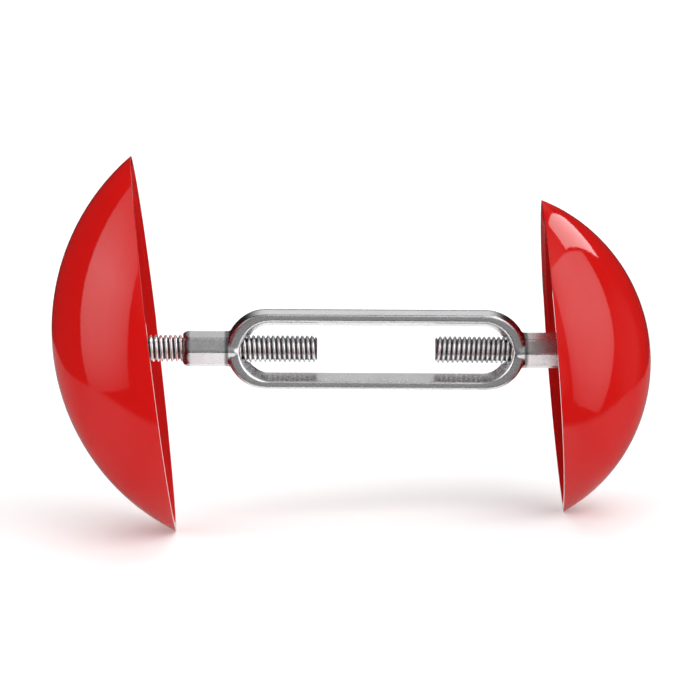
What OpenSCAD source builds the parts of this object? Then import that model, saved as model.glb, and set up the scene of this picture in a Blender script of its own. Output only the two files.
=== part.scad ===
// Shoe stretcher: two open domed shells pushed apart by a turnbuckle.
// The screws' common axis is X and the loop of the turnbuckle lies in the XZ plane.
// The origin is the centre of the loop. The large shell is at -X, the small one at +X.

/* [Turnbuckle] */
// Height of the loop over its outer edges
loop_h = 14.5; // [12:0.5:18]
// Distance between the centres of the loop's two round ends
loop_centres = 39.2; // [32:0.2:44]
// Height of each bar of the loop at its parting line
bar_h = 2.85; // [2.4:0.05:3.2]
// Depth of the loop from front to back
loop_t = 6; // [5:0.25:6.5]
// Slope of the slot's sides from the parting line to each face, in degrees
slot_draft = 22; // [10:1:24]
// Slope of the loop's outer sides, in degrees
rim_draft = 8; // [2:1:10]
// Bevel along the edges of the loop's two faces
loop_bevel = 0.2; // [0.1:0.05:0.3]
// Width across the flats of the eight-sided bosses
boss_flats = 6.2; // [6.1:0.1:7]
// Distance from the loop's centre to the end of each boss
boss_reach = 35.6; // [33:0.1:36]
// Diameter of the flat ring on each boss end, inside its rounding
boss_nose_d = 5.5; // [5.4:0.1:5.8]
// Length of the rounding on the boss end
boss_nose_len = 1.1; // [0.5:0.1:1.4]
// Radius of the fillet where a boss runs into the loop
boss_fillet = 1.6; // [1.2:0.1:2]

/* [Screws] */
// Outside diameter of the screw threads
screw_d = 5; // [4:0.1:5.2]
// Radial play of the screws in the turnbuckle
screw_play = 0.05; // [0.02:0.01:0.1]
// Length of a screw under its head
shank_len = 34.3; // [30:0.1:38]
// Distance between the two screws' free ends
end_gap = 21.8; // [18:0.2:30]
// Chamfer at a screw's free end
screw_chamfer = 0.5; // [0.2:0.1:0.8]
// Width across the flats of the screw heads
head_flats = 7; // [6.6:0.1:7.4]
// Height of a screw head
head_h = 2.5; // [2:0.1:2.6]
// Radius of the flat in the middle of each end of a head
head_flat_r = 1.8; // [1.5:0.1:2.2]
// Slope of the crown on the ends of a head, in degrees
head_crown = 15; // [10:1:20]

/* [Head washers] */
// Outside diameter of the washer under a screw head
washer_d = 8; // [7.6:0.1:8.4]
// Thickness of the washer
washer_t = 0.5; // [0.4:0.05:0.6]
// Radial play of the washer on its screw
washer_play = 0.1; // [0.05:0.05:0.2]
// Gap between washer and head
washer_gap = 0.05; // [0.05:0.05:0.2]

/* [Head seats in the shells] */
// Angle that a shell can rock each way on its screw head, in degrees
rock = 7.5; // [4:0.5:8]
// Free space round the head and the washer when a shell rocks
seat_play = 0.1; // [0.05:0.05:0.2]
// Space between the flats of head and pocket
pocket_play = 0.25; // [0.2:0.05:0.4]
// Wall of the hub round the washer
hub_wall = 1.4; // [1.2:0.1:2]
// Distance of the plate screws from the screw axis
plate_screw_out = 7.2; // [7:0.1:8]
// Radius of the two pillars for the plate screws
pillar_r = 2.3; // [2.1:0.1:2.6]
// Thickness of the stiffening ribs
rib_t = 1.4; // [1:0.1:2]
// How far the ribs run out, as a share of half the rim's length or width
rib_share = 0.6; // [0.5:0.05:0.7]

/* [Keeper plates and their screws] */
// Thickness of a keeper plate
plate_t = 0.8; // [0.6:0.1:1]
// How far a plate's edge stays inside the edge of the hub
plate_inset = 0.2; // [0.1:0.1:0.4]
// Diameter of the plate screws
plate_screw_d = 2; // [1.8:0.1:2.2]
// Length of the plate screws under the head
plate_screw_len = 4; // [3.6:0.1:4.2]
// Head diameter of the plate screws
plate_screw_head_d = 3.8; // [3.4:0.1:4]
// Head height of the plate screws
plate_screw_head_h = 1.2; // [1:0.1:1.4]
// Radial play of the plate screws in their holes
plate_screw_play = 0.05; // [0.02:0.01:0.08]

/* [Large shell] */
// Half the length of the rim
large_half_len = 35.3; // [31:0.1:42]
// Half the width of the rim
large_half_w = 22.8; // [20:0.1:28]
// Depth from the rim to the crown
large_depth = 18.6; // [17:0.1:20]
// Distance from the screw head's centre forward to the rim
large_rim_ahead = 5.5; // [4:0.1:8]
// Angle at which the shell leans on its screw in the rest pose, in degrees
large_lean = 6.9; // [0:0.1:7.4]

/* [Small shell] */
// Half the length of the rim
small_half_len = 29.4; // [26:0.1:34]
// Half the width of the rim
small_half_w = 18.6; // [18.3:0.1:24]
// Depth from the rim to the crown
small_depth = 18.1; // [17.8:0.1:18.2]
// Distance from the screw head's centre forward to the rim
small_rim_ahead = 13.9; // [13.7:0.1:14.1]
// Angle at which the shell leans on its screw in the rest pose, in degrees
small_lean = 5; // [0:0.1:7.4]

/* [Both shells] */
// Wall thickness
wall = 2; // [1.6:0.1:2.2]
// Width of the step round the inside of the rim
lip_w = 0.7; // [0.4:0.1:0.9]
// Depth of that step
lip_d = 0.6; // [0.4:0.1:1.2]

/* [Hidden] */

shell_red = [0.80, 0.09, 0.08];
plated = [0.80, 0.80, 0.82];
zinc = [0.72, 0.73, 0.75];
fine = 96;
// Overrun of a cut past the face that it opens
cut = 1;

// Turnbuckle: radii of the loop's ends at the parting line
loop_r = loop_h / 2;
slot_r = loop_r - bar_h;
half_t = loop_t / 2;
end_x = loop_centres / 2;
boss_corner_r = boss_flats / 2 / cos(180 / 8);
bore_r = screw_d / 2 + screw_play;

// Head and washer in the shell's seat, measured from the middle of the head
screw_r = screw_d / 2;
head_corner_r = head_flats / 2 / cos(180 / 6);
seat_x = end_gap / 2 + shank_len + head_h / 2;
washer_far = head_h / 2 + washer_gap + washer_t;
floor_x = head_h / 2 * cos(rock) + head_flat_r * sin(rock) + seat_play / 2;
plate_x = washer_far * cos(rock) + washer_d / 2 * sin(rock) + seat_play / 2;
pocket_flats = head_flats + 2 * pocket_play;
chamber_r = washer_d / 2 * cos(rock) + washer_far * sin(rock) + 3 * seat_play;
chamber_x = (head_h / 2 + washer_gap) * cos(rock) - washer_d / 2 * sin(rock) - seat_play / 2;
hub_r = chamber_r + hub_wall;
plate_hole_r = screw_r / cos(rock) + (plate_x + plate_t) * tan(rock) + 2 * seat_play;
plate_hole_screw_r = plate_screw_d / 2 + plate_screw_play;
pilot_end = plate_screw_len - plate_t - plate_x + 2 * seat_play;

// Turns a shape made along Z so that it lies along X
module along_x() {
    rotate([0, 90, 0]) children();
}

// Half profile of a plate or slot: r at the parting line, its slope, and its bevel
function cast_edge(r, slope, bevel, over) = [
    [r, 0],
    [r + slope * (half_t - loop_bevel), half_t - loop_bevel],
    [r + slope * half_t + bevel, half_t],
    [r + slope * half_t + bevel + over * (slope + 1), half_t + over]
];

// The same edge on both sides of the parting line, from back to front
function both_halves(edge) = concat(
    [for (i = [len(edge) - 1 : -1 : 1]) [edge[i][0], -edge[i][1]]],
    edge
);

// A slab with round ends whose side follows the edge, lying in the XY plane
module long_slab(edge) {
    side = both_halves(edge);
    top = edge[len(edge) - 1][1];
    for (s = [-1, 1]) {
        translate([s * end_x, 0, 0])
            rotate_extrude($fn = fine)
                polygon(concat([[0, -top]], side, [[0, top]]));
    }
    rotate([90, 0, 90])
        linear_extrude(2 * end_x, center = true)
            polygon(concat(side, [for (i = [len(side) - 1 : -1 : 0]) [-side[i][0], side[i][1]]]));
}

// A disc centred on the axis that passes through radius r0 at x0 and radius r1 at x1
module disc_through(x0, r0, x1, r1) {
    mid = (x1 * x1 + r1 * r1 - x0 * x0 - r0 * r0) / (2 * (x1 - x0));
    translate([0, mid]) circle(r = norm([x0 - mid, r0]), $fn = fine);
}

// Turned outline of a boss: round where it meets the loop, a wide middle and a rounded nose
module boss_outline(inner_x, neck_x, shoulder_x) {
    intersection() {
        union() {
            translate([0, inner_x]) square([half_t - loop_bevel, neck_x - inner_x]);
            disc_through(neck_x - bar_h / 2, half_t, neck_x, boss_corner_r + screw_play);
            translate([0, neck_x]) square([loop_r, shoulder_x - neck_x]);
            disc_through(shoulder_x, boss_corner_r + screw_play, boss_reach, boss_nose_d / 2);
        }
        translate([0, inner_x]) square([loop_r, boss_reach - inner_x]);
    }
}

// One boss along +X: eight flats with a rounded nose, and round where it meets the loop
module boss() {
    inner_x = end_x + slot_r - bar_h;
    neck_x = end_x + loop_r;
    shoulder_x = boss_reach - boss_nose_len;
    intersection() {
        along_x()
            translate([0, 0, inner_x])
                cylinder(r = boss_corner_r, h = boss_reach - inner_x, $fn = 8);
        along_x()
            rotate_extrude($fn = fine)
                boss_outline(inner_x, neck_x, shoulder_x);
    }
}

// The concave flare between a boss and the loop, as deep as the loop
module boss_flare() {
    start_x = end_x + loop_r + boss_fillet * 0.7;
    inner_x = end_x + slot_r - bar_h;
    // starts inside the flats, so that it leaves them at an angle
    flare_r = half_t - 2 * loop_bevel + boss_fillet;
    intersection() {
        along_x()
            rotate_extrude($fn = fine)
                difference() {
                    translate([0, inner_x]) square([flare_r, start_x - inner_x]);
                    translate([flare_r, start_x]) circle(r = boss_fillet, $fn = fine);
                }
        cube([4 * loop_centres, 2 * loop_h, loop_t - 2 * loop_bevel], center = true);
    }
}

module turnbuckle() {
    color(plated)
    rotate([90, 0, 0])
    difference() {
        union() {
            long_slab(cast_edge(loop_r, -tan(rim_draft), -loop_bevel, 0));
            for (s = [0, 1]) {
                mirror([s, 0, 0]) {
                    boss();
                    boss_flare();
                }
            }
        }
        long_slab(cast_edge(slot_r, tan(slot_draft), loop_bevel, cut));
        along_x()
            cylinder(r = bore_r, h = 2 * boss_reach + 2 * cut, center = true, $fn = fine);
    }
}

// A crowned hexagon head and a plain shank, from the head's middle towards -X
module screw() {
    crown = (head_corner_r - head_flat_r) * tan(head_crown);
    free_x = -head_h / 2 - shank_len;
    color(zinc) {
        intersection() {
            along_x()
                cylinder(r = head_corner_r, h = head_h, center = true, $fn = 6);
            along_x()
                rotate_extrude($fn = fine)
                    polygon([
                        [0, -head_h / 2],
                        [head_flat_r + screw_r / 2, -head_h / 2],
                        [head_corner_r, -head_h / 2 + crown / 2],
                        [head_corner_r, head_h / 2 - crown],
                        [head_flat_r, head_h / 2],
                        [0, head_h / 2]
                    ]);
        }
        along_x()
            rotate_extrude($fn = fine)
                polygon([
                    [0, free_x],
                    [screw_r - screw_chamfer, free_x],
                    [screw_r, free_x + screw_chamfer],
                    [screw_r, 0],
                    [0, 0]
                ]);
    }
}

module head_washer() {
    color(zinc)
    along_x()
        translate([0, 0, -washer_far])
            difference() {
                cylinder(d = washer_d, h = washer_t, $fn = fine);
                translate([0, 0, -cut])
                    cylinder(r = screw_r + washer_play, h = washer_t + 2 * cut, $fn = fine);
            }
}

// Outline of hub and pillars, seen along the screw axis
module hub_outline(inset) {
    circle(r = hub_r - inset, $fn = fine);
    for (s = [-1, 1]) {
        translate([s * plate_screw_out, 0]) circle(r = pillar_r - inset, $fn = fine);
    }
    square([2 * plate_screw_out, 2 * (pillar_r - inset)], center = true);
}

module keeper_plate() {
    color(zinc)
    along_x()
        translate([0, 0, -plate_x - plate_t])
            linear_extrude(plate_t)
                difference() {
                    hub_outline(plate_inset);
                    circle(r = plate_hole_r, $fn = fine);
                    for (s = [-1, 1]) {
                        translate([s * plate_screw_out, 0])
                            circle(r = plate_hole_screw_r, $fn = fine);
                    }
                }
}

// Two pan-head screws that hold a keeper plate on its pillars
module plate_screws() {
    head_r = plate_screw_head_d / 2;
    shank_r = plate_screw_d / 2;
    recess = [plate_screw_head_d * 0.55, plate_screw_d * 0.25, plate_screw_head_h];
    color(zinc)
    for (s = [-1, 1]) {
        along_x()
            translate([s * plate_screw_out, 0, -plate_x - plate_t])
                difference() {
                    rotate_extrude($fn = fine)
                        polygon([
                            [0, -plate_screw_head_h],
                            [head_r * 0.5, -plate_screw_head_h],
                            [head_r * 0.85, -plate_screw_head_h * 0.75],
                            [head_r, -plate_screw_head_h * 0.35],
                            [head_r, 0],
                            [shank_r, 0],
                            [shank_r, plate_screw_len - shank_r * 0.6],
                            [shank_r * 0.4, plate_screw_len],
                            [0, plate_screw_len]
                        ]);
                    for (a = [0, 90]) {
                        rotate([0, 0, a])
                            translate([0, 0, -plate_screw_head_h])
                                cube(recess, center = true);
                    }
                }
    }
}

// Solid dome inside a wall of the given inset, open side at rim_x and crown towards +X.
// It is a body of revolution about an axis parallel to Z that lies in front of the rim.
module dome(half_len, half_w, depth, rim_x, inset, from_x) {
    long_r = (half_len * half_len + depth * depth) / (2 * depth);
    ahead = (half_w * half_w - depth * depth) / (2 * depth);
    reach = 4 * half_len;
    intersection() {
        translate([rim_x - ahead, 0, 0])
            rotate_extrude($fn = fine)
                intersection() {
                    translate([depth + ahead - long_r, 0]) circle(r = long_r - inset, $fn = 2 * fine);
                    translate([0, -reach]) square([reach, 2 * reach]);
                }
        translate([from_x, -reach / 2, -reach / 2]) cube(reach);
    }
}

// A pair of gussets in the XZ plane, from the hub down to the crown
module gussets(top_x, start, spread, foot_x) {
    rotate([90, 0, 0])
        linear_extrude(rib_t, center = true)
            polygon([
                [top_x, -start], [top_x, start],
                [foot_x, spread], [foot_x + spread, spread],
                [foot_x + spread, -spread], [foot_x, -spread]
            ]);
}

// Shell with its hub, ribs and head pocket; the middle of the screw head is at the origin
module shell(half_len, half_w, depth, rim_ahead) {
    rim_x = -rim_ahead;
    rib_top = floor_x - head_h;
    rib_foot = (depth - rim_ahead) * 0.75;
    color(shell_red)
    difference() {
        union() {
            difference() {
                dome(half_len, half_w, depth, rim_x, 0, rim_x);
                dome(half_len, half_w, depth, rim_x, wall, rim_x - cut);
            }
            intersection() {
                dome(half_len, half_w, depth, rim_x, wall / 2, rim_x);
                union() {
                    along_x()
                        translate([0, 0, -plate_x])
                            linear_extrude(depth)
                                hub_outline(0);
                    gussets(rib_top, plate_screw_out, half_len * rib_share, rib_foot);
                    rotate([90, 0, 0])
                        gussets(rib_top, hub_r * 0.8, half_w * rib_share, rib_foot);
                }
            }
        }
        // step round the inside of the rim
        intersection() {
            dome(half_len, half_w, depth, rim_x, wall - lip_w, rim_x - cut);
            translate([rim_x - cut, -half_w, -half_len])
                cube([cut + lip_d, 2 * half_w, 2 * half_len]);
        }
        // pocket for the head, chamber for the washer, holes for the plate screws
        along_x()
            translate([0, 0, -plate_x])
                cylinder(d = pocket_flats / cos(180 / 6), h = plate_x + floor_x, $fn = 6);
        along_x()
            translate([0, 0, -plate_x - cut])
                cylinder(r = chamber_r, h = plate_x + cut - chamber_x, $fn = fine);
        for (s = [-1, 1]) {
            along_x()
                translate([s * plate_screw_out, 0, -plate_x - cut])
                    cylinder(r = plate_hole_screw_r, h = plate_x + cut + pilot_end, $fn = fine);
        }
    }
}

// The middle of a screw head on each side; a shell rocks about Y through it
module at_large_head(lean) {
    translate([-seat_x, 0, 0]) rotate([0, -lean, 0]) mirror([1, 0, 0]) children();
}

module at_small_head(lean) {
    translate([seat_x, 0, 0]) rotate([0, -lean, 0]) children();
}

module large_shell() {
    at_large_head(large_lean) shell(large_half_len, large_half_w, large_depth, large_rim_ahead);
}

module small_shell() {
    at_small_head(small_lean) shell(small_half_len, small_half_w, small_depth, small_rim_ahead);
}

module right_hand_screw() {
    at_large_head(0) screw();
}

module left_hand_screw() {
    at_small_head(0) screw();
}

module large_head_washer() {
    at_large_head(0) head_washer();
}

module small_head_washer() {
    at_small_head(0) head_washer();
}

module large_keeper_plate() {
    at_large_head(large_lean) keeper_plate();
}

module small_keeper_plate() {
    at_small_head(small_lean) keeper_plate();
}

module large_plate_screws() {
    at_large_head(large_lean) plate_screws();
}

module small_plate_screws() {
    at_small_head(small_lean) plate_screws();
}

turnbuckle();
large_shell();
small_shell();
right_hand_screw();
left_hand_screw();
large_head_washer();
small_head_washer();
large_keeper_plate();
small_keeper_plate();
large_plate_screws();
small_plate_screws();
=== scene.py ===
import math

import bmesh
import bpy
from mathutils import Matrix, Vector


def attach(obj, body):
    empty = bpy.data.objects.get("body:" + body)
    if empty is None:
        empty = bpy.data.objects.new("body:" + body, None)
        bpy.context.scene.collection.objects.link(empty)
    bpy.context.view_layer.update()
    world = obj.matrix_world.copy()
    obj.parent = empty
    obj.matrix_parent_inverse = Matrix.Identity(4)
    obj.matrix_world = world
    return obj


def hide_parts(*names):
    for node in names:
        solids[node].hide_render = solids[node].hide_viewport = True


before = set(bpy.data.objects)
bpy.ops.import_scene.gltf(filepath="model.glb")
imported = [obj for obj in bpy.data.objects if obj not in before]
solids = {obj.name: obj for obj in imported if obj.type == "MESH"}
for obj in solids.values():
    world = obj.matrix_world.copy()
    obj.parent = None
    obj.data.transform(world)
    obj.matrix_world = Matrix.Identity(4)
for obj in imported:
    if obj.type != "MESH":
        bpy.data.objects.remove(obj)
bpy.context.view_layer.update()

MM = 0.001

# ---------- sizes in millimetres ----------

# Screws, as in the solids: middle of the head, radius, length, head height
SEAT_X = 46.45
SCREW_R = 2.5
SHANK_LEN = 34.3
HEAD_H = 2.5
HEAD_FLATS = 7.0
CROWN_FLAT_R = 1.8
CROWN_DEG = 15.0

# Threads: left out of the solids
PITCH = 0.9
CREST_R = SCREW_R - 0.01
ROOT_R = SCREW_R - 0.56
TIP_CHAMFER = 0.5
RUN_OUT = 0.6
# Axial place as a share of the pitch, and depth as a share of the thread's: rolled, with round crests
THREAD_PROFILE = [
    (0.00, 0.00), (0.08, 0.02), (0.15, 0.09), (0.21, 0.23), (0.27, 0.42), (0.33, 0.65), (0.38, 0.83), (0.43, 0.95),
    (0.50, 1.00), (0.57, 0.95), (0.62, 0.83), (0.67, 0.65), (0.73, 0.42), (0.79, 0.23), (0.85, 0.09), (0.92, 0.02),
]

# Casting: outer wall of the loop as (Y, distance from the loop's middle line), and the bosses
LOOP_CENTRE_X = 20.35
LOOP_EDGE = [
    (-2.98, 6.75), (-2.78, 6.98), (0.0, 7.375), (2.78, 6.98), (2.98, 6.75),
    (2.98, 5.9), (0.0, 5.0), (-2.98, 5.9),
]
BOSS_FLAT = 3.12
BOSS_CORNER = BOSS_FLAT / math.cos(math.pi / 8)
BOSS_X = (26.2, 30.0, 34.4)
BOSS_END_X = 35.6
NOSE_DROP = 0.64
BORE_SKIN_R = 2.62
SKIN_VOXEL = 0.2

# Moulded edges of the shells
SHELL_BEVEL = 0.16

# Place of the floor: the two lower tips stand on it
FLOOR_TILT = 3.0915
LARGE_TIP = (-36.749, -34.384)
FLOOR_GAP = 0.05

SEG = 72
BOSS_SEG = 96


# ---------- node helpers ----------

def new_material(name):
    """A material with its node tree and its Principled BSDF."""
    mat = bpy.data.materials.new(name)
    mat.use_nodes = True
    return mat, mat.node_tree, mat.node_tree.nodes["Principled BSDF"]


def node(nt, kind, **props):
    n = nt.nodes.new(kind)
    for key, value in props.items():
        setattr(n, key, value)
    return n


def noise(nt, coord, scale, detail=4.0, rough=0.5, stretch=None):
    """A noise texture in object space, optionally stretched along an axis."""
    n = node(nt, "ShaderNodeTexNoise")
    n.inputs["Scale"].default_value = scale
    n.inputs["Detail"].default_value = detail
    n.inputs["Roughness"].default_value = rough
    if stretch:
        m = node(nt, "ShaderNodeMapping")
        m.inputs["Scale"].default_value = stretch
        nt.links.new(coord, m.inputs["Vector"])
        coord = m.outputs["Vector"]
    nt.links.new(coord, n.inputs["Vector"])
    return n.outputs["Fac"]


def grey(v):
    return (v, v, v)


def ramp(nt, value, stops):
    """A colour ramp through stops of (place, colour)."""
    r = node(nt, "ShaderNodeValToRGB")
    while len(r.color_ramp.elements) < len(stops):
        r.color_ramp.elements.new(0.5)
    for element, (place, colour) in zip(r.color_ramp.elements, stops):
        element.position = place
        element.color = (*colour, 1)
    nt.links.new(value, r.inputs["Fac"])
    return r.outputs["Color"]


def split(nt, vector):
    """The X, Y and Z of a vector."""
    sep = node(nt, "ShaderNodeSeparateXYZ")
    nt.links.new(vector, sep.inputs[0])
    return sep.outputs


def calc(nt, op, a, b=None):
    """A math node on sockets or numbers."""
    m = node(nt, "ShaderNodeMath", operation=op)
    for sock, v in zip(m.inputs, (a, b)):
        if isinstance(v, (int, float)):
            sock.default_value = v
        elif v is not None:
            nt.links.new(v, sock)
    return m.outputs["Value"]


def spread(nt, value, out_lo, out_hi):
    """A value of 0 to 1 spread evenly between two others."""
    m = node(nt, "ShaderNodeMapRange")
    m.inputs["To Min"].default_value = out_lo
    m.inputs["To Max"].default_value = out_hi
    nt.links.new(value, m.inputs["Value"])
    return m.outputs["Result"]


def smoothstep(nt, value, lo, hi, out_lo, out_hi):
    """Eases from out_lo to out_hi while the value goes from lo to hi."""
    m = node(nt, "ShaderNodeMapRange", interpolation_type="SMOOTHSTEP")
    for key, v in (("From Min", lo), ("From Max", hi), ("To Min", out_lo), ("To Max", out_hi)):
        m.inputs[key].default_value = v
    nt.links.new(value, m.inputs["Value"])
    return m.outputs["Result"]


def from_axis(nt, a, b):
    """Distance from an axis, from the two coordinates square to it."""
    return calc(nt, "SQRT", calc(nt, "ADD", calc(nt, "MULTIPLY", a, a), calc(nt, "MULTIPLY", b, b)))


def choose(nt, share, a, b):
    """Mixes two numbers or sockets: a where the share is 0 and b where it is 1."""
    mix = node(nt, "ShaderNodeMix", data_type="FLOAT")
    nt.links.new(share, mix.inputs["Factor"])
    for key, v in (("A", a), ("B", b)):
        if isinstance(v, (int, float)):
            mix.inputs[key].default_value = v
        else:
            nt.links.new(v, mix.inputs[key])
    return mix.outputs["Result"]


def shade_colour(nt, colour, tone):
    """Colour times a tone of 0 to 1."""
    mix = node(nt, "ShaderNodeMix", data_type="RGBA", blend_type="MULTIPLY")
    mix.inputs["Factor"].default_value = 1.0
    nt.links.new(colour, mix.inputs["A"])
    nt.links.new(tone, mix.inputs["B"])
    return mix.outputs["Result"]


def bump(nt, bsdf, height, strength, distance, edge=None):
    """Bump; with edge given, sharp edges also look rounded by that radius."""
    b = node(nt, "ShaderNodeBump")
    b.inputs["Strength"].default_value = strength
    b.inputs["Distance"].default_value = distance
    nt.links.new(height, b.inputs["Height"])
    if edge:
        r = node(nt, "ShaderNodeBevel", samples=6)
        r.inputs["Radius"].default_value = edge
        nt.links.new(r.outputs["Normal"], b.inputs["Normal"])
    nt.links.new(b.outputs["Normal"], bsdf.inputs["Normal"])


# ---------- materials ----------

def red_plastic(name, mouth, tone):
    """Glossy outside, dull inside: the inner faces are those that look towards the mouth, +X or -X."""
    mat, nt, b = new_material(name)
    coord = node(nt, "ShaderNodeTexCoord")
    obj = coord.outputs["Object"]
    # faint flow marks in the colour
    flow = noise(nt, obj, 55, 3, 0.5, (1.0, 1.0, 0.35))
    colour = ramp(nt, flow, [(0.3, (0.476 * tone, 0.0058, 0.0049)), (0.7, (0.504 * tone, 0.0072, 0.0060))])
    # a few dust specks under the surface
    vor = node(nt, "ShaderNodeTexVoronoi")
    vor.inputs["Scale"].default_value = 130
    nt.links.new(obj, vor.inputs["Vector"])
    speck = ramp(nt, vor.outputs["Distance"], [(0.030, grey(0.72)), (0.050, grey(1.0))])
    nt.links.new(shade_colour(nt, colour, speck), b.inputs["Base Color"])
    # inner faces, without the lip, which looks straight along the axis
    axis = node(nt, "ShaderNodeVectorMath", operation="DOT_PRODUCT")
    axis.inputs[1].default_value = (mouth, 0, 0)
    nt.links.new(coord.outputs["Normal"], axis.inputs[0])
    inside = ramp(nt, axis.outputs["Value"], [(0.0, grey(0)), (0.04, grey(1)), (0.90, grey(1)), (0.94, grey(0))])
    # wiping marks and fine scratches in the gloss
    smear = noise(nt, obj, 90, 5, 0.6, (0.5, 0.5, 1.6))
    roughness = choose(nt, inside, spread(nt, smear, 0.045, 0.085), spread(nt, smear, 0.55, 0.75))
    nt.links.new(roughness, b.inputs["Roughness"])
    nt.links.new(choose(nt, inside, 0.5, 0.06), b.inputs["Specular IOR Level"])
    bump(nt, b, noise(nt, obj, 160, 2, 0.5), 0.04, 0.2 * MM, 0.3 * MM)
    b.inputs["IOR"].default_value = 1.47
    b.inputs["Subsurface Weight"].default_value = 0.06
    b.inputs["Subsurface Scale"].default_value = 1.2 * MM
    b.inputs["Subsurface Radius"].default_value = (1.0, 0.25, 0.2)
    return mat


def plated_casting():
    """Plated cast metal, cloudy; dull and dark on the noses of the bosses and outside on the loop's ends, where its
    colour is darkened as a painted dark reflection.
    """
    mat, nt, b = new_material("plated_casting")
    obj = node(nt, "ShaderNodeTexCoord").outputs["Object"]
    colour = ramp(nt, noise(nt, obj, 140, 4, 0.55), [(0.3, (0.68, 0.68, 0.695)), (0.7, (0.78, 0.78, 0.79))])
    x, _, z = split(nt, obj)
    out = calc(nt, "ABSOLUTE", x)
    # painted dark reflection: the colour darkens on the noses of the bosses
    nose = smoothstep(nt, out, 34.1 * MM, 34.8 * MM, 1.0, 0.34)
    # painted dark reflection: the colour darkens outside on the loop's round ends
    round_end = from_axis(nt, calc(nt, "SUBTRACT", out, LOOP_CENTRE_X * MM), z)
    rim = smoothstep(nt, round_end, 6.8 * MM, 7.1 * MM, 0.0, 0.72)
    rim = calc(nt, "MULTIPLY", rim, smoothstep(nt, out, 20.5 * MM, 24.0 * MM, 0.0, 1.0))
    rim = calc(nt, "MULTIPLY", rim, smoothstep(nt, out, 27.6 * MM, 28.2 * MM, 1.0, 0.0))
    tone = calc(nt, "MULTIPLY", nose, calc(nt, "SUBTRACT", 1.0, rim))
    nt.links.new(shade_colour(nt, colour, tone), b.inputs["Base Color"])
    nt.links.new(spread(nt, noise(nt, obj, 900, 3, 0.6), 0.20, 0.33), b.inputs["Roughness"])
    grain = spread(nt, noise(nt, obj, 1100, 2, 0.5), 0.0, 0.10)
    bump(nt, b, calc(nt, "ADD", noise(nt, obj, 260, 2, 0.5), grain), 0.06, 0.12 * MM)
    b.inputs["Metallic"].default_value = 1.0
    return mat


def bright_steel(name, dark, light, rough=(0.14, 0.30), painted_groove_shade=None):
    """Zinc plated steel; the pair of radii, where given, is where the colour goes from dark, a painted shade in the
    thread grooves, to bright.
    """
    mat, nt, b = new_material(name)
    obj = node(nt, "ShaderNodeTexCoord").outputs["Object"]
    tones = [(0.3, (dark, dark, dark * 1.015)), (0.7, (light, light, light * 1.01))]
    colour = ramp(nt, noise(nt, obj, 600, 4, 0.6), tones)
    if painted_groove_shade:
        # painted shade: the colour darkens towards the thread roots
        _, y, z = split(nt, obj)
        colour = shade_colour(nt, colour, smoothstep(nt, from_axis(nt, y, z), *painted_groove_shade, 0.22, 1.0))
    nt.links.new(colour, b.inputs["Base Color"])
    # fine marks that run round the axis
    ring = noise(nt, obj, 500, 3, 0.6, (8.0, 1.0, 1.0))
    nt.links.new(spread(nt, ring, *rough), b.inputs["Roughness"])
    bump(nt, b, ring, 0.10, 0.05 * MM)
    b.inputs["Metallic"].default_value = 1.0
    return mat


RED_LARGE = red_plastic("red_gloss_plastic_large", 1, 1.07)
RED_SMALL = red_plastic("red_gloss_plastic_small", -1, 1.0)
CAST = plated_casting()
SCREW = bright_steel("zinc_plated_screw", 0.80, 0.93, (0.18, 0.32), (1.92 * MM, 2.32 * MM))
SMALL_SCREW = bright_steel("zinc_plated_small_screw", 0.66, 0.80)
SHEET = bright_steel("zinc_plated_sheet", 0.52, 0.66, (0.22, 0.40))


def dress(mat, *names):
    for name in names:
        solids[name].data.materials.clear()
        solids[name].data.materials.append(mat)


dress(CAST, "turnbuckle")
dress(RED_LARGE, "large_shell")
dress(RED_SMALL, "small_shell")
dress(SHEET, "large_head_washer", "small_head_washer", "large_keeper_plate", "small_keeper_plate")
dress(SMALL_SCREW, "large_plate_screws", "small_plate_screws")

for shell in ("large_shell", "small_shell"):
    soft_edges = solids[shell].modifiers.new("soft_edges", "BEVEL")
    soft_edges.width = SHELL_BEVEL * MM
    soft_edges.segments = 2
    soft_edges.limit_method = "ANGLE"
    soft_edges.angle_limit = math.radians(50)


# ---------- mesh helpers ----------

def turned_ring(bm, x, radius, seg, unit=1.0):
    """Points round the X axis; the radius is a number or a function of the angle from +Z."""
    ring = []
    for i in range(seg):
        a = 2 * math.pi * i / seg
        r = radius(a) if callable(radius) else radius
        ring.append(bm.verts.new((x * unit, r * math.sin(a) * unit, r * math.cos(a) * unit)))
    return ring


def skin(bm, rings, closed=False):
    """Faces between neighbouring rings of points; closed joins the last ring to the first."""
    n = len(rings[0])
    for a, b in zip(rings, rings[1:] + rings[:1] if closed else rings[1:]):
        for i in range(n):
            bm.faces.new((a[i], a[(i + 1) % n], b[(i + 1) % n], b[i]))


def link_object(name, mesh):
    o = bpy.data.objects.new(name, mesh)
    bpy.context.scene.collection.objects.link(o)
    return o


def finish_mesh(bm, name, mat, smooth_deg):
    """An object from the bmesh, smooth up to the given angle."""
    me = bpy.data.meshes.new(name)
    bm.to_mesh(me)
    bm.free()
    o = link_object(name, me)
    me.materials.append(mat)
    for p in me.polygons:
        p.use_smooth = True
    me.set_sharp_from_angle(angle=math.radians(smooth_deg))
    return o


# ---------- threaded screws ----------

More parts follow.
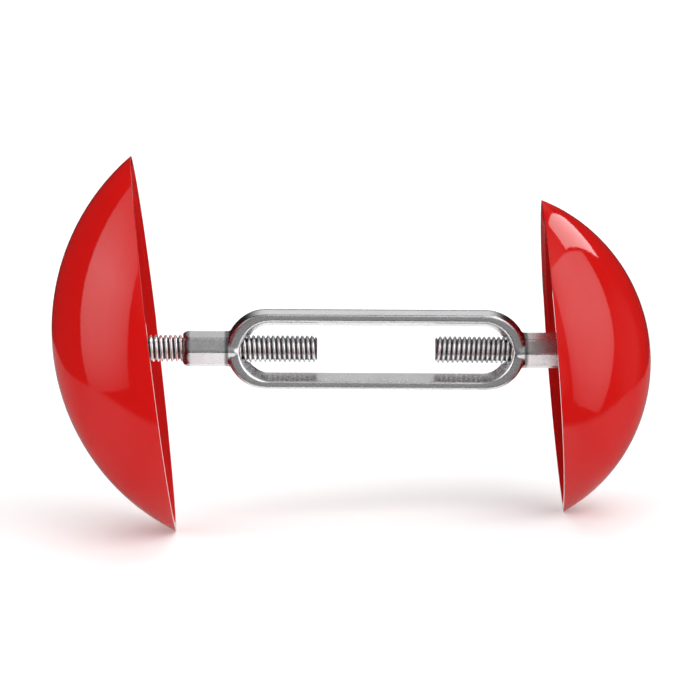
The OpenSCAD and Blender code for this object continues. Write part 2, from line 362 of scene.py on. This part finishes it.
def thread(bm, start, stop):
    """One helical strip from start to stop along X, cut off square at both ends."""
    per = len(THREAD_PROFILE)
    turns = int((stop - start) / PITCH) + 4
    rows = []
    for m in range(turns * per):
        turn, j = divmod(m, per)
        place, depth = THREAD_PROFILE[j]
        row = []
        for i in range(SEG):
            a = 2 * math.pi * i / SEG
            x = start + PITCH * (turn - 2 + place + i / SEG)
            r = CREST_R - depth * (CREST_R - ROOT_R)
            if x <= start:
                x, r = start, CREST_R - TIP_CHAMFER
            elif x < start + TIP_CHAMFER:
                r = min(r, CREST_R - TIP_CHAMFER + (x - start))
            if x >= stop:
                x, r = stop, ROOT_R
            elif x > stop - RUN_OUT:
                r = max(ROOT_R, min(r, ROOT_R + (stop - x) / RUN_OUT * (CREST_R - ROOT_R)))
            row.append(bm.verts.new((x, r * math.sin(a), r * math.cos(a))))
        rows.append(row)
    for m in range(len(rows) - 1):
        for i in range(SEG):
            if i < SEG - 1:
                corners = (rows[m][i], rows[m][i + 1], rows[m + 1][i + 1], rows[m + 1][i])
            elif m + 1 + per < len(rows):
                # round once: the strip meets the next turn
                corners = (rows[m][i], rows[m + per][0], rows[m + 1 + per][0], rows[m + 1][i])
            else:
                continue
            if len({tuple(v.co) for v in corners}) > 2:
                bm.faces.new(corners)


def hex_head(bm):
    """Hexagon head with crowned ends: every point is on the hexagon or lower, where the crown cuts it."""
    corner = HEAD_FLATS / 2 / math.cos(math.pi / 6)
    crown = (corner - CROWN_FLAT_R) * math.tan(math.radians(CROWN_DEG))
    under_flat_r = CROWN_FLAT_R + SCREW_R / 2

    def hexagon(a):
        a = (a + math.pi / 6) % (math.pi / 3) - math.pi / 6
        return corner * math.cos(math.pi / 6) / math.cos(math.pi / 6 - abs(a))

    def top(r):
        return HEAD_H / 2 - max(0.0, r - CROWN_FLAT_R) / (corner - CROWN_FLAT_R) * crown

    def under(r):
        return -HEAD_H / 2 + max(0.0, r - under_flat_r) / (corner - under_flat_r) * crown / 2

    rings = []
    for face, shares in ((under, (0.001, 0.55, 0.85, 1.0)), (top, (1.0, 0.85, 0.6, 0.42, 0.001))):
        for share in shares:
            ring = []
            for i in range(SEG):
                a = 2 * math.pi * i / SEG
                r = hexagon(a) * share
                ring.append(bm.verts.new((face(r), r * math.sin(a), r * math.cos(a))))
            rings.append(ring)
    skin(bm, rings)


def threaded_screw(name, side):
    """Screw with a rolled thread and a crowned hexagon head, from the seat towards the middle.

    The screw on the -X side has a right-hand thread; the other one is its mirror image.
    """
    bm = bmesh.new()
    neck = -HEAD_H / 2
    start = neck - SHANK_LEN
    stop = neck - 0.35
    thread(bm, start, stop)
    # end face
    centre = bm.verts.new((start, 0, 0))
    rim = turned_ring(bm, start, CREST_R - TIP_CHAMFER, SEG)
    for i in range(SEG):
        bm.faces.new((centre, rim[i], rim[(i + 1) % SEG]))
    # plain neck between thread and head
    neck_line = [(stop - 0.3, ROOT_R - 0.02), (stop, ROOT_R), (neck - 0.12, ROOT_R), (neck + 0.05, ROOT_R + 0.25)]
    skin(bm, [turned_ring(bm, x, r, SEG) for x, r in neck_line])
    hex_head(bm)
    bmesh.ops.remove_doubles(bm, verts=bm.verts, dist=1e-5)
    bmesh.ops.recalc_face_normals(bm, faces=bm.faces)
    place = Matrix.Translation((side * SEAT_X, 0, 0)) @ Matrix.Diagonal((side, 1, 1, 1))
    bm.transform(Matrix.Scale(MM, 4) @ place)
    if side < 0:
        # the mirror turned the faces inside out
        bmesh.ops.reverse_faces(bm, faces=bm.faces)
    bmesh.ops.recalc_face_normals(bm, faces=bm.faces)
    return finish_mesh(bm, name, SCREW, 38)


right = threaded_screw("right_hand_thread_screw", -1)
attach(right, "right_hand_screw")
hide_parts("right_hand_screw")

left = threaded_screw("left_hand_thread_screw", 1)
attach(left, "left_hand_screw")
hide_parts("left_hand_screw")


# ---------- cast turnbuckle ----------

def loop_wall(bm):
    """Outer wall of the loop with its draft; along the bars its inner side lies inside the exact body.

    At both ends it crosses the bores and closes them inside, where the screws pass through it.
    """
    steps = 48
    rings = []
    for s in (1, -1):
        for k in range(steps + 1):
            a = math.pi * (k / steps - 0.5) + (math.pi if s < 0 else 0)
            ring = []
            for y, r in LOOP_EDGE:
                x, z = s * LOOP_CENTRE_X + r * math.cos(a), r * math.sin(a)
                ring.append(bm.verts.new((x * MM, y * MM, z * MM)))
            rings.append(ring)
    skin(bm, rings, closed=True)


def boss(bm, side):
    """Eight flats with a rounded nose, round the bore."""
    nose_x = BOSS_X[-1]
    rings = []
    for x in list(BOSS_X) + [nose_x + (BOSS_END_X - nose_x) * k / 8 for k in range(1, 9)]:
        t = max(0.0, (x - nose_x) / (BOSS_END_X - nose_x))
        nose_r = BOSS_CORNER - NOSE_DROP * t ** 1.7

        def flats_or_nose(a):
            return min(BOSS_FLAT / math.cos(a % (math.pi / 4) - math.pi / 8), nose_r)

        rings.append(turned_ring(bm, side * x, flats_or_nose, BOSS_SEG, MM))
    for x in (BOSS_END_X, BOSS_X[0]):
        rings.append(turned_ring(bm, side * x, BORE_SKIN_R, BOSS_SEG, MM))
    skin(bm, rings, closed=True)


def cast_turnbuckle():
    """The exact body with a slightly thicker loop, all edges and joints softened as a casting's are."""
    exact = solids["turnbuckle"]
    bm = bmesh.new()
    bm.from_mesh(exact.data)
    bm.transform(exact.matrix_world)
    loop_wall(bm)
    for side in (-1, 1):
        boss(bm, side)
    bmesh.ops.recalc_face_normals(bm, faces=bm.faces)
    raw = finish_mesh(bm, "turnbuckle_raw", CAST, 30)
    remesh = raw.modifiers.new("skin", "REMESH")
    remesh.mode = "VOXEL"
    remesh.voxel_size = SKIN_VOXEL * MM
    remesh.use_smooth_shade = True
    soft = raw.modifiers.new("soft", "SMOOTH")
    soft.factor = 0.5
    soft.iterations = 5
    mesh = bpy.data.meshes.new_from_object(raw.evaluated_get(bpy.context.evaluated_depsgraph_get()))
    bpy.data.objects.remove(raw)
    return link_object("turnbuckle_casting", mesh)


casting = cast_turnbuckle()
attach(casting, "turnbuckle")
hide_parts("turnbuckle")


# ---------- stage ----------

# Glow of the floor near the object and far behind it
FLOOR_GLOW, FAR_GLOW = 0.15, 0.45
# The white board that the gloss shows: middle, half sizes and turn
BOARD_X, BOARD_Y = -0.016, 0.088
BOARD_HALF = (0.138, 0.130)
BOARD_TURN = 6
BOARD_CORNERS = 3.2


def white_floor():
    """A white board, glowing a little. Its reflection ends where the board does and is dimmer at the sides, under the
    shells, as a painted shade.
    """
    mat, nt, b = new_material("white_table")
    obj = node(nt, "ShaderNodeTexCoord").outputs["Object"]
    nt.links.new(ramp(nt, noise(nt, obj, 3, 2), [(0.3, grey(0.90)), (0.7, grey(0.92))]), b.inputs["Base Color"])
    b.inputs["Roughness"].default_value = 0.9
    b.inputs["Specular IOR Level"].default_value = 0.0
    b.inputs["Emission Color"].default_value = (1, 1, 1, 1)
    x, y, _ = split(nt, obj)
    # the far part of the background has light of its own
    nt.links.new(smoothstep(nt, y, 0.12, 0.9, FLOOR_GLOW, FAR_GLOW), b.inputs["Emission Strength"])

    def board_share(turn, half):
        """Distance from the board's middle along one of its sides, as a power of the share of its half size."""
        t = math.radians(turn)
        along_x = calc(nt, "MULTIPLY", calc(nt, "SUBTRACT", x, BOARD_X - LARGE_TIP[0] * MM), math.cos(t))
        along_y = calc(nt, "MULTIPLY", calc(nt, "SUBTRACT", y, BOARD_Y), math.sin(t))
        share = calc(nt, "DIVIDE", calc(nt, "ADD", along_x, along_y), half)
        return calc(nt, "POWER", calc(nt, "ABSOLUTE", share), BOARD_CORNERS)

    # past the board's edge the floor is clear to gloss and shadow rays
    away = calc(nt, "ADD", board_share(BOARD_TURN, BOARD_HALF[0]), board_share(BOARD_TURN + 90, BOARD_HALF[1]))
    off_board = smoothstep(nt, away, 0.92, 1.12, 0.0, 1.0)
    ray = node(nt, "ShaderNodeLightPath").outputs
    unseen = calc(nt, "MULTIPLY", off_board, calc(nt, "MAXIMUM", ray["Is Glossy Ray"], ray["Is Shadow Ray"]))
    # painted shade in the reflection: gloss rays find it dimmer under the shells, more so behind them than in front
    from_middle = calc(nt, "ABSOLUTE", calc(nt, "ADD", x, LARGE_TIP[0] * MM))
    at_side = smoothstep(nt, from_middle, 0.028, 0.055, 0.0, 1.0)
    loss = smoothstep(nt, y, -0.030, 0.020, 0.53, 0.77)
    dimmer = calc(nt, "MULTIPLY", calc(nt, "MULTIPLY", at_side, loss), ray["Is Glossy Ray"])

    def mixed(share, first, second):
        mix = node(nt, "ShaderNodeMixShader")
        for sock, out in zip(mix.inputs, (share, first, second)):
            nt.links.new(out, sock)
        return mix.outputs[0]

    dark = node(nt, "ShaderNodeEmission")
    dark.inputs["Color"].default_value = (0, 0, 0, 1)
    board = mixed(dimmer, b.outputs[0], dark.outputs[0])
    surface = mixed(unseen, board, node(nt, "ShaderNodeBsdfTransparent").outputs[0])
    nt.links.new(surface, nt.nodes["Material Output"].inputs["Surface"])
    bm = bmesh.new()
    bmesh.ops.create_grid(bm, x_segments=1, y_segments=1, size=2.5)
    o = finish_mesh(bm, "table", mat, 30)
    place = Matrix.Translation((LARGE_TIP[0] * MM, 0, (LARGE_TIP[1] - FLOOR_GAP) * MM))
    o.matrix_world = place @ Matrix.Rotation(-math.radians(FLOOR_TILT), 4, "Y")


def backdrop():
    """White wall all round, seen by the camera only; views from low down show it instead of the dark room."""
    mat, nt, b = new_material("white_backdrop")
    obj = node(nt, "ShaderNodeTexCoord").outputs["Object"]
    b.inputs["Base Color"].default_value = (0.9, 0.9, 0.9, 1)
    b.inputs["Emission Color"].default_value = (1, 1, 1, 1)
    nt.links.new(spread(nt, noise(nt, obj, 1.5, 2), 1.05, 1.12), b.inputs["Emission Strength"])
    bm = bmesh.new()
    dome = [(-0.5, 2.2), (1.0, 2.2), (1.5, 2.1), (1.9, 1.7), (2.1, 1.0), (2.15, 0.02)]
    skin(bm, [turned_ring(bm, z, r, 96) for z, r in dome])
    bm.transform(Matrix.Rotation(-math.pi / 2, 4, "Y"))
    o = finish_mesh(bm, "backdrop", mat, 60)
    o.visible_diffuse = o.visible_glossy = o.visible_transmission = o.visible_shadow = False


white_floor()
backdrop()


# ---------- lights ----------

LIGHT_DIST = 1.2


def direction(az, el):
    """Azimuth 0 looks back at the camera side (-Y) and 90 is +X; elevation is above the horizon."""
    a, e = math.radians(az), math.radians(el)
    return Vector((math.sin(a) * math.cos(e), -math.cos(a) * math.cos(e), math.sin(e)))


def softbox(name, az, el, u, v, radiance, roll=0, fade=None):
    """A flat light that faces the object from az, el.

    u and v are its spans to the right and up, in units of its distance. fade has the stops of its
    strength from left to right and from bottom to top.
    """
    towards = direction(az, el)
    across = direction(az + 90, 0)
    up = across.cross(-towards)
    r = math.radians(roll)
    side_u = across * math.cos(r) + up * math.sin(r)
    side_v = up * math.cos(r) - across * math.sin(r)
    middle = (towards + side_u * (u[0] + u[1]) / 2 + side_v * (v[0] + v[1]) / 2) * LIGHT_DIST
    light = bpy.data.lights.new(name, "AREA")
    light.shape = "RECTANGLE"
    light.size = (u[1] - u[0]) * LIGHT_DIST
    light.size_y = (v[1] - v[0]) * LIGHT_DIST
    light.energy = radiance * math.pi * light.size * light.size_y
    if fade:
        light.use_nodes = True
        nt = light.node_tree
        place = split(nt, node(nt, "ShaderNodeNewGeometry").outputs["Parametric"])
        rows = [ramp(nt, place[k], [(p, grey(g)) for p, g in stops]) for k, stops in zip("XY", fade)]
        nt.links.new(calc(nt, "MULTIPLY", *rows), nt.nodes["Emission"].inputs["Strength"])
    o = link_object(name, light)
    o.matrix_world = Matrix.Translation(middle) @ Matrix((side_u, side_v, side_u.cross(side_v))).transposed().to_4x4()
    o.visible_camera = False
    return o


softbox("softbox_left", -72, 15, (-0.50, 0.52), (-0.86, 1.0), 2.6, fade=(
    [(0.0, 0.72), (0.3, 0.95), (0.55, 1.0), (0.8, 0.82), (1.0, 0.5)],
    [(0.0, 0.18), (0.10, 0.35), (0.22, 0.58), (0.32, 0.74), (0.52, 1.0), (0.66, 0.7), (0.8, 0.45), (1.0, 0.35)]))
softbox("softbox_right", 50, 32, (-0.60, 0.60), (-1.90, 0.62), 2.25, roll=-7, fade=(
    [(0.0, 0.55), (0.2, 0.85), (0.45, 1.0), (0.75, 1.0), (1.0, 0.72)],
    [(0.0, 0.30), (0.28, 0.50), (0.45, 0.72), (0.58, 0.85), (0.72, 1.0), (0.85, 0.95), (1.0, 0.80)]))
window = softbox("softbox_window", 120, 55, (-0.20, 0.20), (-0.34, 0.42), 5.9, roll=25, fade=(
    [(0.0, 1.0), (1.0, 0.95)],
    [(0.0, 1.05), (0.5, 0.95), (1.0, 0.8)]))
window.visible_diffuse = False
overhead = softbox("overhead", 25, 55, (-0.7, 0.7), (-0.6, 0.6), 0.6)
overhead.visible_glossy = False
top = softbox("top", 180, 65, (-0.5, 0.5), (-0.5, 0.5), 1.65)
top.visible_glossy = False

# The dark room and its paler parts: azimuth, elevation, inner and outer radius in degrees, radiance
WORLD_BASE = 0.025
WORLD_PATCHES = [
    (0, 40, 15, 50, 0.24), (20, 70, 10, 25, 0.3), (0, -11, 8, 20, 0.27), (98, 2, 8, 30, 0.15),
    (180, 30, 8, 22, 0.8), (180, 55, 8, 22, 0.6),
]


def studio_world():
    """Dark room with a weak soft fill in front and above and a pale wall right behind the object."""
    world = bpy.data.worlds.new("studio")
    bpy.context.scene.world = world
    world.use_nodes = True
    nt = world.node_tree
    towards = node(nt, "ShaderNodeTexCoord").outputs["Generated"]
    total = WORLD_BASE
    for az, el, inner, outer, strength in WORLD_PATCHES:
        dot = node(nt, "ShaderNodeVectorMath", operation="DOT_PRODUCT")
        dot.inputs[1].default_value = direction(az, el)
        nt.links.new(towards, dot.inputs[0])
        edge, core = math.cos(math.radians(outer)), math.cos(math.radians(inner))
        total = calc(nt, "ADD", smoothstep(nt, dot.outputs["Value"], edge, core, 0.0, strength), total)
    bg = nt.nodes["Background"]
    bg.inputs["Color"].default_value = (1, 1, 1, 1)
    nt.links.new(total, bg.inputs["Strength"])


studio_world()


# ---------- camera ----------

# Fitted to the photo's outlines: degrees, millimetres, and pixels of a picture 700 wide
CAMERA_YAW, CAMERA_PITCH, CAMERA_ROLL = -1.416, 10.959, 0.582
CAMERA_DIST = 781.515
CAMERA_TARGET = Vector((-4.821, 0, -0.137))
FOCAL_PX, PHOTO_PX = 4236.983, 700
SENSOR = 36


def make_camera():
    yaw, pitch, roll = (math.radians(a) for a in (CAMERA_YAW, CAMERA_PITCH, CAMERA_ROLL))
    forward = Vector((-math.sin(yaw) * math.cos(pitch), math.cos(yaw) * math.cos(pitch), -math.sin(pitch)))
    side = Vector((math.cos(yaw), math.sin(yaw), 0))
    up = side.cross(forward)
    right_edge = side * math.cos(roll) + up * math.sin(roll)
    top_edge = -side * math.sin(roll) + up * math.cos(roll)
    cam = bpy.data.cameras.new("camera")
    cam.sensor_width = SENSOR
    cam.lens = FOCAL_PX / PHOTO_PX * SENSOR
    cam.clip_start, cam.clip_end = 0.01, 20
    o = link_object("camera", cam)
    place = Matrix.Translation((CAMERA_TARGET - forward * CAMERA_DIST) * MM)
    o.matrix_world = place @ Matrix((right_edge, top_edge, -forward)).transposed().to_4x4()
    bpy.context.scene.camera = o


make_camera()
bpy.context.scene.view_settings.view_transform = "Standard"
